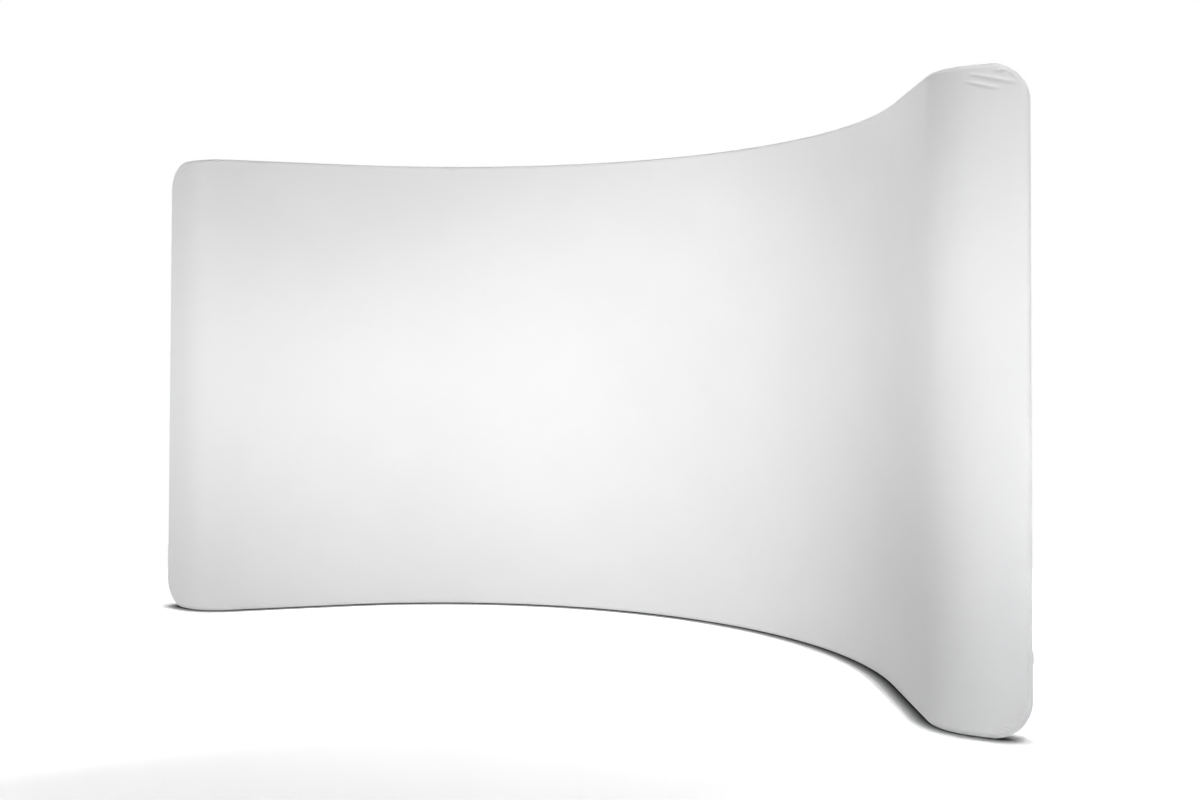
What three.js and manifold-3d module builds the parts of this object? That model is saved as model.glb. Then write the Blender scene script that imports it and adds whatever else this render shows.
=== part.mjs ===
// Curved fabric display wall, 2.25 m tall: a zip-closed stretch sleeve over a snap-together
// frame of bent aluminium tube. Millimetres, +Z up, origin on the floor under the middle.
// The wall is hollow towards -Y (the front), and both ends turn back to stand it up.
import * as THREE from 'three';
import * as BufferGeometryUtils from 'three/addons/utils/BufferGeometryUtils.js';
import Module from 'manifold-3d';

const wasm = await Module();
wasm.setup();

// ---- driving dimensions ----
const wallHeight = 2250;
const arcRadius = 1900; // plan radius of the tube centre line
const arcHalfAngle = THREE.MathUtils.degToRad(53.5);
const straightRun = 550; // straight stretch of the hook tube after the arc
const bendRadius = 200; // plan bend that starts the end return
const bendAngle = THREE.MathUtils.degToRad(61);
const returnRun = 170; // from the bend to the centre line of the end post
const cornerRadius = 120; // rounded corners of the end frame, seen from its front

const railSections = 3; // bent tubes in each curved rail
const sectionFacets = 8;
const bendFacets = 8;
const cornerFacets = 5;

const tubeRadius = 16;
const tubeWall = 1.5;
const tubeSides = 12;
const spigotRadius = 14.2; // swaged male end
const spigotLength = 60;
const spigotTaper = 4;
const fitGap = 0.3;
const legTop = 220; // height of the joint between a bottom hook and its post
const stubShoulder = 34; // from the rail's axis to the upright's end

// Snap buttons, measured outwards from the tube's axis.
const buttonRadius = 3.5;
const buttonSides = 8;
const buttonHoleRadius = 4.1;
const buttonHoleSides = 10;
const buttonHoleDepth = 7;
const collarRadius = 4.6;
const collarBottom = 9.8;
const collarTop = 11.1;
const headStart = 16.9; // where the dome of the head begins
const headTop = 18.3;
const headFlat = 0.6; // share of the radius that the top of the dome takes
const headDrop = 0.3;

const fabricInner = 16.8; // from the tube's axis to the inside of the sleeve
const fabricThickness = 1;
const seamGap = THREE.MathUtils.degToRad(1);
const frontWrap = THREE.MathUtils.degToRad(101.25); // the front panel goes round and under
const restFacet = THREE.MathUtils.degToRad(22.5); // flat strip that stands on the floor
const zipTop = 300; // both ends of the zip's gap, above the floor
const zipStop = 6; // the zip ends this far below its gap
const zipWrap = THREE.MathUtils.degToRad(158); // far edge of the zip band
const coilStart = THREE.MathUtils.degToRad(122);
const coilEnd = THREE.MathUtils.degToRad(138);
const coilRadius = 18.9;

const fabricOuter = fabricInner + fabricThickness;
const halfArc = arcRadius * arcHalfAngle;
const bendStart = halfArc + straightRun;
const bendEnd = bendStart + bendRadius * bendAngle;
const halfLength = bendEnd + returnRun;
const railDrop = fabricOuter * Math.cos(restFacet / 2); // rail axis above the floor
const bottomAxis = railDrop;
const topAxis = wallHeight - railDrop;

// ---- finishes ----
const finish = (color, roughness, metalness) => ({ color, roughness, metalness });
const whiteFabric = finish(0xf4f4f3, 0.85, 0);
const satinTube = finish(0xb9bcc0, 0.38, 0.9);
const buttonSteel = finish(0xd2d4d6, 0.25, 1);
const zipTapeCloth = finish(0xececea, 0.9, 0);
const zipNylon = finish(0xe4e4e2, 0.45, 0);
const zipMetal = finish(0xc9cacb, 0.3, 0.9);

// ---- the plan curve ----
// Point, tangent and backward normal at a length measured along the centre line from the middle.
function planAt(length) {
  const side = length < 0 ? -1 : 1;
  const run = Math.abs(length);
  const turn = Math.min(run, halfArc) / arcRadius;
  const point = new THREE.Vector3(Math.sin(turn), Math.cos(turn), 0).multiplyScalar(arcRadius);
  const tangent = new THREE.Vector3(Math.cos(turn), -Math.sin(turn), 0);
  const back = new THREE.Vector3(Math.sin(turn), Math.cos(turn), 0);
  if (run > halfArc) point.addScaledVector(tangent, Math.min(run - halfArc, straightRun));
  if (run > bendStart) {
    const bend = Math.min(run - bendStart, bendEnd - bendStart) / bendRadius;
    const centre = point.clone().addScaledVector(back, bendRadius);
    const from = back.clone();
    const along = tangent.clone();
    point.copy(centre).addScaledVector(from, -bendRadius * Math.cos(bend));
    point.addScaledVector(along, bendRadius * Math.sin(bend));
    tangent.copy(along).multiplyScalar(Math.cos(bend)).addScaledVector(from, Math.sin(bend));
    back.copy(from).multiplyScalar(Math.cos(bend)).addScaledVector(along, -Math.sin(bend));
  }
  if (run > bendEnd) point.addScaledVector(tangent, run - bendEnd);
  point.x *= side;
  tangent.y *= side;
  back.x *= side;
  return { point, tangent, back };
}

const planDepths = [0, halfArc, bendStart, bendEnd, halfLength].map((run) => planAt(run).point.y);

// A station of the frame outline: centre, outward direction in the wall's surface, back normal.
function station(run, height, outRun, outUp) {
  const { point, tangent, back } = planAt(run);
  const centre = point.clone();
  centre.z = height;
  const out = tangent.clone().multiplyScalar(outRun);
  out.z = outUp;
  return { run, centre, out, back };
}

const steps = (from, to, count) =>
  Array.from({ length: count + 1 }, (_, index) => from + ((to - from) * index) / count);

// Lengths along the wall where the rails have a vertex, from the middle to one end.
const arcRuns = steps(-halfArc, halfArc, railSections * sectionFacets);
const bendRuns = steps(bendStart, bendEnd, bendFacets);
const railAt = (run, top) => station(run, top ? topAxis : bottomAxis, 0, top ? 1 : -1);

// The rounded corner from the rail up (or down) to the end post.
function cornerStations(side, top) {
  const up = top ? 1 : -1;
  const height = top ? topAxis - cornerRadius : bottomAxis + cornerRadius;
  return steps(0, Math.PI / 2, cornerFacets).map((angle) => {
    const run = halfLength - cornerRadius + cornerRadius * Math.sin(angle);
    const rise = cornerRadius * Math.cos(angle);
    return station(side * run, height + up * rise, side * Math.sin(angle), up * Math.cos(angle));
  });
}
const postAt = (side, height) => station(side * halfLength, height, side, 0);

// ---- solids ----
function bufferSolid(points, triangles) {
  const geometry = new THREE.BufferGeometry().setFromPoints(points);
  let volume = 0;
  for (let i = 0; i < triangles.length; i += 3) {
    const [a, b, c] = [points[triangles[i]], points[triangles[i + 1]], points[triangles[i + 2]]];
    volume += a.dot(new THREE.Vector3().crossVectors(b, c));
  }
  const faces = triangles.slice();
  if (volume < 0) faces.reverse();
  geometry.setIndex(faces);
  return geometry;
}

// Joins rings of equal size into one closed wall; the last ring joins back to the first.
function ringLoop(rings) {
  const size = rings[0].length;
  const triangles = [];
  rings.forEach((_, ringIndex) => {
    const here = ringIndex * size;
    const next = ((ringIndex + 1) % rings.length) * size;
    for (let i = 0; i < size; i++) {
      const j = (i + 1) % size;
      triangles.push(here + i, next + i, next + j, here + i, next + j, here + j);
    }
  });
  return bufferSolid(rings.flat(), triangles);
}

function circle(frame, radius) {
  return steps(0, 2 * Math.PI, tubeSides).slice(0, tubeSides).map((angle) => {
    const turned = angle + Math.PI / tubeSides;
    return frame.centre.clone()
      .addScaledVector(frame.out, radius * Math.sin(turned))
      .addScaledVector(frame.back, -radius * Math.cos(turned));
  });
}

const shift = (frame, direction, distance) => ({
  ...frame,
  centre: frame.centre.clone().addScaledVector(direction, distance),
});

// A bent tube through its stations. Each end is a plain socket or a swaged spigot.
function bentTube(frames, startEnd, finishEnd) {
  const inner = (radius) => radius - tubeWall;
  const end = (kind, frame, inward, outward) => {
    if (kind === 'socket') return [[shift(frame, inward, fitGap), tubeRadius]];
    return [
      [shift(frame, inward, spigotTaper), tubeRadius],
      [frame, spigotRadius],
      [shift(frame, outward, spigotLength), spigotRadius],
    ];
  };
  const first = frames[0];
  const last = frames[frames.length - 1];
  const startIn = frames[1].centre.clone().sub(first.centre).normalize();
  const finishIn = frames[frames.length - 2].centre.clone().sub(last.centre).normalize();
  const startOut = (first.mateDirection ?? startIn.clone().negate()).clone();
  const finishOut = (last.mateDirection ?? finishIn.clone().negate()).clone();
  const body = frames.slice(1, -1).map((frame) => [frame, tubeRadius]);
  const sections = [
    ...end(startEnd, first, startIn, startOut).reverse(),
    ...body,
    ...end(finishEnd, last, finishIn, finishOut),
  ];
  const outside = sections.map(([frame, radius]) => circle(frame, radius));
  const inside = sections.map(([frame, radius]) => circle(frame, inner(radius)));
  return ringLoop([...outside, ...inside.reverse()]);
}

function toManifold(geometry) {
  const bare = geometry.clone();
  bare.deleteAttribute('normal');
  bare.deleteAttribute('uv');
  const merged = BufferGeometryUtils.mergeVertices(bare, 1e-4);
  return new wasm.Manifold(new wasm.Mesh({
    numProp: 3,
    vertProperties: new Float32Array(merged.attributes.position.array),
    triVerts: new Uint32Array(merged.index.array),
  }));
}

function fromManifold(solid) {
  const mesh = solid.getMesh();
  const geometry = new THREE.BufferGeometry();
  geometry.setAttribute('position', new THREE.BufferAttribute(new Float32Array(mesh.vertProperties), 3));
  geometry.setIndex(new THREE.BufferAttribute(new Uint32Array(mesh.triVerts), 1));
  return geometry;
}

function cut(geometry, cutters) {
  let solid = toManifold(geometry);
  for (const cutter of cutters) solid = solid.subtract(toManifold(cutter));
  return fromManifold(solid);
}

function join(geometries) {
  let solid = toManifold(geometries[0]);
  for (const geometry of geometries.slice(1)) solid = solid.add(toManifold(geometry));
  return fromManifold(solid);
}

// Turns a solid made along +Z so that +Z points along a direction, and moves it to a place.
function aim(geometry, direction, place) {
  const turn = new THREE.Quaternion().setFromUnitVectors(new THREE.Vector3(0, 0, 1), direction);
  return geometry.applyQuaternion(turn).translate(place.x, place.y, place.z);
}

// ---- the scene graph ----
const group = new THREE.Group();
const frameGroup = new THREE.Group();
const coverGroup = new THREE.Group();
group.add(frameGroup, coverGroup);
const middleDepth = (Math.max(...planDepths) + Math.min(...planDepths)) / 2;

function addPart(parent, name, geometry, look) {
  const mesh = new THREE.Mesh(geometry, new THREE.MeshStandardMaterial(look));
  mesh.name = name;
  parent.add(mesh);
  return mesh;
}

// ---- tube joints ----
// Each joint: where the spigot leaves its tube, the way it points and the side its button is on.
const holes = new Map(); // tube name to the holes through its walls
function snapJoint(name, root, along, side, tubes) {
  const place = root.clone().addScaledVector(along, spigotLength / 2);
  const hole = new THREE.CylinderGeometry(
    buttonHoleRadius, buttonHoleRadius, buttonHoleDepth, buttonHoleSides);
  hole.rotateX(Math.PI / 2).translate(0, 0, spigotRadius);
  aim(hole, side, place);
  for (const tube of tubes) holes.set(tube, [...(holes.get(tube) ?? []), hole]);
  addPart(frameGroup, `snap_button_${name}`, aim(snapButton(), side, place), buttonSteel);
}

// A turned button: collar that stays inside the spigot, pin through both walls, domed head.
function snapButton() {
  const profile = [
    new THREE.Vector2(0, collarBottom),
    new THREE.Vector2(collarRadius, collarBottom),
    new THREE.Vector2(collarRadius, collarTop),
    new THREE.Vector2(buttonRadius, collarTop),
    new THREE.Vector2(buttonRadius, headStart),
    new THREE.Vector2(buttonRadius * headFlat, headTop - headDrop),
    new THREE.Vector2(0, headTop),
  ];
  return new THREE.LatheGeometry(profile, buttonSides).rotateX(Math.PI / 2);
}

// ---- curved rails: three bent tubes and a hook at each end, bottom and top ----
const tubes = new Map();
const sectionNames = ['left', 'middle', 'right'];
const inward = (top) => new THREE.Vector3(0, 0, top ? -1 : 1);
const towards = (from, to) => to.clone().sub(from).normalize();

for (const top of [false, true]) {
  const level = top ? 'top' : 'bottom';
  const railPoints = arcRuns.map((run) => railAt(run, top));
  const straightAfter = towards(railAt(halfArc, top).centre, railAt(bendStart, top).centre);
  sectionNames.forEach((place, index) => {
    const from = index * sectionFacets;
    const frames = railPoints.slice(from, from + sectionFacets + 1);
    const next = railPoints[from + sectionFacets + 1];
    const along = next ? towards(frames[sectionFacets].centre, next.centre) : straightAfter;
    frames[sectionFacets] = { ...frames[sectionFacets], mateDirection: along };
    tubes.set(`${level}_rail_${place}`, bentTube(frames, 'socket', 'spigot'));
  });
  const jointAlongs = steps(0, railSections, railSections).map((index) => {
    const at = index * sectionFacets;
    const next = railPoints[at + 1];
    return next ? towards(railPoints[at].centre, next.centre) : straightAfter;
  });
  const firstAlong = jointAlongs[0];
  const rails = sectionNames.map((place) => `${level}_rail_${place}`);
  const chain = [`${level}_hook_left`, ...rails, `${level}_hook_right`];
  jointAlongs.forEach((along, index) => {
    const root = railPoints[index * sectionFacets].centre;
    snapJoint(`${level}_rail_${index + 1}`, root, along, inward(top), [chain[index], chain[index + 1]]);
  });

  for (const side of [-1, 1]) {
    const hand = side < 0 ? 'left' : 'right';
    const legHeight = top ? wallHeight - legTop : legTop;
    const frames = [
      railAt(side * halfArc, top),
      ...bendRuns.map((run) => railAt(side * run, top)),
      ...cornerStations(side, top),
      postAt(side, legHeight),
    ];
    if (side < 0) frames[0].mateDirection = firstAlong;
    const railEnd = side < 0 ? 'spigot' : 'socket';
    tubes.set(`${level}_hook_${hand}`, bentTube(frames, railEnd, top ? 'socket' : 'spigot'));
  }
}

// ---- straight tubes: end posts and inner uprights, each in two lengths ----
const upward = new THREE.Vector3(0, 0, 1);
const halfHeight = wallHeight / 2;

for (const side of [-1, 1]) {
  const hand = side < 0 ? 'left' : 'right';
  const lower = `end_post_${hand}_lower`;
  const upper = `end_post_${hand}_upper`;
  const [foot, middle, head] = [legTop, halfHeight, wallHeight - legTop].map((z) => postAt(side, z));
  tubes.set(lower, bentTube([foot, middle], 'socket', 'spigot'));
  tubes.set(upper, bentTube([middle, head], 'socket', 'spigot'));
  const facing = postAt(side, 0).out.clone().negate();
  const joints = [
    [foot, [`bottom_hook_${hand}`, lower]],
    [middle, [lower, upper]],
    [head, [upper, `top_hook_${hand}`]],
  ];
  joints.forEach(([frame, pair], index) => {
    snapJoint(`post_${hand}_${index + 1}`, frame.centre, upward, facing, pair);
  });
}

// A short swaged stub that stands on a rail and plugs into an upright.
function railStub() {
  const bore = tubeRadius - tubeWall;
  const spigotBore = spigotRadius - tubeWall;
  const profile = [
    new THREE.Vector2(bore, 0),
    new THREE.Vector2(tubeRadius, 0),
    new THREE.Vector2(tubeRadius, stubShoulder - spigotTaper),
    new THREE.Vector2(spigotRadius, stubShoulder),
    new THREE.Vector2(spigotRadius, stubShoulder + spigotLength),
    new THREE.Vector2(spigotBore, stubShoulder + spigotLength),
    new THREE.Vector2(spigotBore, stubShoulder),
    new THREE.Vector2(bore, stubShoulder - spigotTaper),
    new THREE.Vector2(bore, 0),
  ];
  const saddleRadius = (tubeRadius + fitGap) / Math.cos(Math.PI / tubeSides);
  const saddle = new THREE.CylinderGeometry(saddleRadius, saddleRadius, tubeRadius * 5, tubeSides);
  saddle.rotateZ(Math.PI / 2);
  const turned = new THREE.LatheGeometry(profile, tubeSides, Math.PI / tubeSides);
  return cut(turned.rotateX(Math.PI / 2), [saddle]);
}

sectionNames.forEach((place, index) => {
  const run = arcRuns[index * sectionFacets + sectionFacets / 2];
  const { tangent } = planAt(run);
  const heading = Math.atan2(tangent.y, tangent.x);
  const lower = `upright_${place}_lower`;
  const upper = `upright_${place}_upper`;
  const low = bottomAxis + stubShoulder;
  const high = topAxis - stubShoulder;
  const upright = (height) => ({ ...station(run, height, 0, 0), out: tangent });
  tubes.set(lower, bentTube([upright(low), upright(halfHeight)], 'socket', 'spigot'));
  tubes.set(upper, bentTube([upright(halfHeight), upright(high)], 'socket', 'socket'));
  for (const top of [false, true]) {
    const level = top ? 'top' : 'bottom';
    const stub = railStub();
    if (top) stub.rotateX(Math.PI);
    const { centre } = railAt(run, top);
    tubes.set(`${level}_stub_${place}`, stub.rotateZ(heading).translate(centre.x, centre.y, centre.z));
  }
  snapJoint(`upright_${place}_1`, upright(low).centre, upward, tangent, [`bottom_stub_${place}`, lower]);
  snapJoint(`upright_${place}_2`, upright(halfHeight).centre, upward, tangent, [lower, upper]);
  snapJoint(`upright_${place}_3`, upright(high).centre, inward(true), tangent, [upper, `top_stub_${place}`]);
});

for (const [name, geometry] of tubes) {
  addPart(frameGroup, name, holes.has(name) ? cut(geometry, holes.get(name)) : geometry, satinTube);
}

// ---- the sleeve ----
// Columns of the outline from the left end to the right: each has a bottom and a top station.
function outlineColumns(top) {
  const left = cornerStations(-1, top).reverse();
  const leftBend = [...bendRuns].reverse().map((run) => railAt(-run, top));
  const arc = arcRuns.map((run) => railAt(run, top));
  const rightBend = bendRuns.map((run) => railAt(run, top));
  return [...left, ...leftBend, ...arc, ...rightBend, ...cornerStations(1, top)];
}
const bottomColumns = outlineColumns(false);
const topColumns = outlineColumns(true);

// A point of the cross-section: angle 0 faces the front, 90 degrees the outside edge, 180 the back.
const around = (frame, angle, radius) => frame.centre.clone()
  .addScaledVector(frame.back, -radius * Math.cos(angle))
  .addScaledVector(frame.out, radius * Math.sin(angle));

// One half of the sleeve: a flat skin inside the outline and a wrap round the frame's edge.
// `angles` run from the skin outwards. Below the zip's ends only the first `lowRows` are there.
function sleevePanel(angles, lowRows) {
  const rim = [...bottomColumns, postAt(1, zipTop), ...[...topColumns].reverse(), postAt(-1, zipTop)];
  const columns = bottomColumns.length;
  const points = [];
  const vertexGrid = (radius) => rim.map((frame) => (
    angles.map((angle) => points.push(around(frame, angle, radius)) - 1)
  ));
  const outer = vertexGrid(fabricOuter);
  const inner = vertexGrid(fabricInner);
  const triangles = [];
  const quad = (a, b, c, d) => triangles.push(a, b, c, a, c, d);
  const rowsBetween = (k, n) => {
    const high = Math.min(rim[k].centre.z, rim[n].centre.z) >= zipTop;
    return (high ? angles.length : lowRows) - 1;
  };
  rim.forEach((_, k) => {
    const n = (k + 1) % rim.length;
    const rows = rowsBetween(k, n);
    for (let j = 0; j < rows; j++) {
      quad(outer[k][j], outer[n][j], outer[n][j + 1], outer[k][j + 1]);
      quad(inner[k][j], inner[k][j + 1], inner[n][j + 1], inner[n][j]);
    }
    quad(outer[k][rows], outer[n][rows], inner[n][rows], inner[k][rows]);
    const rowsAfter = rowsBetween(n, (n + 1) % rim.length);
    for (let j = rows; j < rowsAfter; j++) quad(outer[n][j], outer[n][j + 1], inner[n][j + 1], inner[n][j]);
    for (let j = rowsAfter; j < rows; j++) quad(outer[n][j + 1], outer[n][j], inner[n][j], inner[n][j + 1]);
  });

  // the skin: one upright strip between each pair of columns
  const topOf = (column) => 2 * columns - column;
  const rightMark = columns;
  const leftMark = rim.length - 1;
  const strips = steps(0, columns - 2, columns - 2).map((i) => [i + 1, i, topOf(i), topOf(i + 1)]);
  strips[0] = [1, 0, leftMark, topOf(0), topOf(1)];
  strips[columns - 2] = [columns - 2, topOf(columns - 2), topOf(columns - 1), rightMark, columns - 1];
  for (const [hub, ...others] of strips) {
    for (let i = 0; i < others.length - 1; i++) {
      triangles.push(outer[hub][0], outer[others[i]][0], outer[others[i + 1]][0]);
      triangles.push(inner[hub][0], inner[others[i + 1]][0], inner[others[i]][0]);
    }
  }
  return unusedRemoved(points, triangles);
}

// Drops the points that no triangle uses.
function unusedRemoved(points, triangles) {
  const used = [...new Set(triangles)].sort((a, b) => a - b);
  const place = new Map(used.map((index, order) => [index, order]));
  return bufferSolid(used.map((index) => points[index]), triangles.map((index) => place.get(index)));
}

const frontAngles = [0, 0.26, 0.52, 0.7778, 1].map((share) => share * frontWrap);
const backEdge = frontWrap + seamGap;
const zipEdge = zipWrap + seamGap;
const backAngles = [Math.PI, zipEdge, (zipEdge + backEdge) / 2, backEdge];
addPart(coverGroup, 'sleeve_front', sleevePanel(frontAngles, frontAngles.length), whiteFabric);
addPart(coverGroup, 'sleeve_back', sleevePanel(backAngles, 2), whiteFabric);

// ---- the zip: two tapes, the coil between them, a slider and its pull ----
const zipPath = [
  postAt(-1, zipTop - zipStop),
  ...bottomColumns,
  postAt(1, zipTop - zipStop),
];

// A strip of rectangular section that follows the zip's path round the frame.
function zipStrip(startAngle, endAngle, innerRadius, outerRadius) {
  const points = zipPath.flatMap((frame) => [
    around(frame, startAngle, innerRadius),
    around(frame, endAngle, innerRadius),
    around(frame, endAngle, outerRadius),
    around(frame, startAngle, outerRadius),
  ]);
  const triangles = [];
  const quad = (a, b, c, d) => triangles.push(a, b, c, a, c, d);
  for (let k = 0; k < zipPath.length - 1; k++) {
    for (let i = 0; i < 4; i++) {
      const j = (i + 1) % 4;
      quad(4 * k + i, 4 * (k + 1) + i, 4 * (k + 1) + j, 4 * k + j);
    }
  }
  const end = 4 * (zipPath.length - 1);
  quad(0, 1, 2, 3);
  quad(end + 3, end + 2, end + 1, end);
  return bufferSolid(points, triangles);
}
const tapeGap = seamGap * 1.2;
addPart(coverGroup, 'zip_tape_front',
  zipStrip(backEdge, coilStart - tapeGap, fabricInner, fabricOuter), zipTapeCloth);
addPart(coverGroup, 'zip_tape_back',
  zipStrip(coilEnd + tapeGap, zipWrap, fabricInner, fabricOuter), zipTapeCloth);
addPart(coverGroup, 'zip_coil', zipStrip(coilStart, coilEnd, fabricInner, coilRadius), zipNylon);

// The slider's own frame: X across the zip, Y up the post, Z away from the post's axis.
const sliderLength = 14;
const sliderWidth = 10;
const sliderBase = 18.6; // lowest point of its side walls
const sliderFace = 21.3;
const channelWidth = 5.6;
const channelHeight = 0.7;
const archReach = 5; // half the length of the arch's foot
const archHeight = 3.7;
const archBar = 1.1; // thickness over the eye
const archSink = 0.5; // the arch's foot is let into the body this far
const archWidth = 2.2;
const pullAxis = sliderFace + 1.4; // pivot of the pull
const pullLength = 34;
const pullNeck = 3.4;
const pullTip = 4.6;
const pullThickness = 1.5;
const pullEyeWidth = 3.4;
const pullEyeLength = 7.45;
const pullHangRadius = 1.8;
const sliderCentre = zipTop - zipStop - sliderLength / 2 - 2;
const coilAngle = (coilStart + coilEnd) / 2;

function onZip(geometry) {
  const frame = postAt(1, sliderCentre);
  const outward = around(frame, coilAngle, 1).sub(frame.centre);
  const across = new THREE.Vector3().crossVectors(upward, outward);
  const basis = new THREE.Matrix4().makeBasis(across, upward, outward);
  basis.setPosition(frame.centre);
  return geometry.applyMatrix4(basis);
}

// Shield-shaped body with a channel for the coil, and an arch that holds the pull.
function zipSlider() {
  const half = sliderWidth / 2;
  const foot = half * 0.7;
  const waist = sliderLength * 0.1;
  const shoulder = sliderLength * 0.36;
  const shield = new THREE.Shape();
  shield.moveTo(-foot, -sliderLength / 2);
  shield.lineTo(foot, -sliderLength / 2);
  shield.lineTo(half, waist);
  shield.lineTo(half, shoulder);
  shield.quadraticCurveTo(0, sliderLength - shoulder, -half, shoulder);
  shield.lineTo(-half, waist);
  shield.closePath();
  const depth = sliderFace - sliderBase;
  const body = new THREE.ExtrudeGeometry(shield, { depth, bevelEnabled: false, curveSegments: 4 });
  const channel = new THREE.BoxGeometry(channelWidth, sliderLength * 3, channelHeight * 2);
  return join([cut(body, [channel]).translate(0, 0, sliderBase), sliderArch()]);
}

// The arch is drawn with X along the slider and Y outwards.
function sliderArch() {
  const slope = 1;
  const eyeHalf = archReach / 2;
  const eyeTop = archHeight - archBar;
  const arch = new THREE.Shape();
  arch.moveTo(-archReach, -archSink);
  arch.lineTo(archReach, -archSink);
  arch.lineTo(archReach - slope, archHeight);
  arch.lineTo(-archReach + slope, archHeight);
  arch.closePath();
  const eye = new THREE.Path();
  eye.moveTo(-eyeHalf, 0);
  eye.lineTo(-eyeHalf, eyeTop);
  eye.lineTo(eyeHalf, eyeTop);
  eye.lineTo(eyeHalf, 0);
  eye.closePath();
  arch.holes.push(eye);
  const bridge = new THREE.ExtrudeGeometry(arch, { depth: archWidth, bevelEnabled: false });
  bridge.translate(0, 0, -archWidth / 2).rotateY(Math.PI / 2).rotateX(Math.PI / 2);
  return bridge.translate(0, 0, sliderFace);
}

// A flat tab that tapers to a rounded tip, with an eye round the slider's arch.
function zipPull() {
  const eyeTop = -pullThickness / 2;
  const eyeHalf = pullEyeWidth / 2;
  const tipCentre = -pullLength + pullTip;
  const tab = new THREE.Shape();
  tab.moveTo(-pullNeck, pullThickness / 2);
  tab.lineTo(-pullTip, tipCentre);
  tab.absarc(0, tipCentre, pullTip, Math.PI, 2 * Math.PI, false);
  tab.lineTo(pullNeck, pullThickness / 2);
  tab.closePath();
  const eye = new THREE.Path();
  eye.moveTo(-eyeHalf, eyeTop);
  eye.lineTo(eyeHalf, eyeTop);
  eye.lineTo(eyeHalf, eyeTop - pullEyeLength);
  eye.lineTo(-eyeHalf, eyeTop - pullEyeLength);
  eye.closePath();
  const hang = new THREE.Path();
  hang.absarc(0, tipCentre, pullHangRadius, 0, 2 * Math.PI, true);
  tab.holes.push(eye, hang);
  const extrusion = { depth: pullThickness, bevelEnabled: false, curveSegments: 8 };
  return new THREE.ExtrudeGeometry(tab, extrusion).translate(0, 0, pullAxis - pullThickness / 2);
}
addPart(coverGroup, 'zip_slider', onZip(zipSlider()), zipMetal);
addPart(coverGroup, 'zip_pull', onZip(zipPull()), zipMetal);

group.position.y = -middleDepth;

export default group;
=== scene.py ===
# Curved display wall: a white stretch sleeve zipped over its packed tube frame.
import math
import bmesh
import bpy
import numpy as np
from mathutils import Matrix, Vector


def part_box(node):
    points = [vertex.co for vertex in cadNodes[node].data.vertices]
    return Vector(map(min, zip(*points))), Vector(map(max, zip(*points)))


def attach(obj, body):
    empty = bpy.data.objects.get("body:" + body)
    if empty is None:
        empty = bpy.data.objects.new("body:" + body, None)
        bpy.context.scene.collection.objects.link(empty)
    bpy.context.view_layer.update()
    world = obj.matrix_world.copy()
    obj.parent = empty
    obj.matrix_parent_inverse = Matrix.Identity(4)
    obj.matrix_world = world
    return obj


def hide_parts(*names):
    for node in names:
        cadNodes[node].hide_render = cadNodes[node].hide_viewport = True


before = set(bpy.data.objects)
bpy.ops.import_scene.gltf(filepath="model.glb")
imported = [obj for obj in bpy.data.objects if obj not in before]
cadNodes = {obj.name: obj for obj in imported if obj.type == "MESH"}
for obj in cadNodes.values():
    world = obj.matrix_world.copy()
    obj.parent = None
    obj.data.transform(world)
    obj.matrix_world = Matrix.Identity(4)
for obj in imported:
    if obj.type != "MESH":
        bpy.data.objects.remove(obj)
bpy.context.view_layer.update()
print("frame loaded:", len(cadNodes), "CAD nodes")


# The wall's plan and outline.
# Lengths in metres along the tube's centre line, from the middle to one end.
wallPlan = {
    "arcRadius": 1.9,
    "arcHalfAngle": math.radians(53.5),
    "straightRun": 0.55,
    "bendRadius": 0.2,
    "bendAngle": math.radians(61),
    "returnRun": 0.17,
    "cornerRadius": 0.12,
    "height": 2.25,
    "railRise": 0.017458,  # height of the bottom rail's axis above the floor
}
planStretches = [
    (wallPlan["arcRadius"] * wallPlan["arcHalfAngle"], 1 / wallPlan["arcRadius"]),
    (wallPlan["straightRun"], 0.0),
    (wallPlan["bendRadius"] * wallPlan["bendAngle"], -1 / wallPlan["bendRadius"]),
    (wallPlan["returnRun"], 0.0),
]
halfArc = planStretches[0][0]
bendStart = halfArc + wallPlan["straightRun"]
bendEnd = bendStart + planStretches[2][0]
halfLength = bendEnd + wallPlan["returnRun"]
cornerRadius = wallPlan["cornerRadius"]
bottomAxis = wallPlan["railRise"]
topAxis = wallPlan["height"] - wallPlan["railRise"]

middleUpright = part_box("upright_middle_lower")
middleDepth = (middleUpright[0].y + middleUpright[1].y) / 2  # the plan's deepest point
uprightRuns = [-halfArc * 2 / 3, 0.0, halfArc * 2 / 3]


# Points, tangents and backward normals at lengths measured from the middle.
def walkPlan(run):
    run = np.asarray(run, float)
    side = np.where(run < 0, -1.0, 1.0)
    left = np.abs(run)
    heading = np.zeros_like(left)
    x = np.zeros_like(left)
    y = np.full_like(left, middleDepth)
    for length, curving in planStretches:
        step = np.clip(left, 0, length)
        turned = heading + curving * step
        if curving:
            x += (np.sin(turned) - np.sin(heading)) / curving
            y += (np.cos(turned) - np.cos(heading)) / curving
        else:
            x += np.cos(heading) * step
            y -= np.sin(heading) * step
        heading = turned
        left = left - step
    flat = np.zeros_like(x)
    point = np.stack([side * x, y, flat], -1)
    tangent = np.stack([np.cos(heading), -side * np.sin(heading), flat], -1)
    back = np.stack([side * np.sin(heading), np.cos(heading), flat], -1)
    return point, tangent, back


def smoothStep(low, high, value):
    share = np.clip((np.asarray(value, float) - low) / (high - low), 0, 1)
    return share * share * (3 - 2 * share)


# Ascending values through stretches of (start, end, spacing).
def spread(stretches):
    values = [stretches[0][0]]
    for start, end, spacing in stretches:
        count = max(1, round((end - start) / spacing))
        values.extend(np.linspace(start, end, count + 1)[1:])
    return np.array(values)


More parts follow.
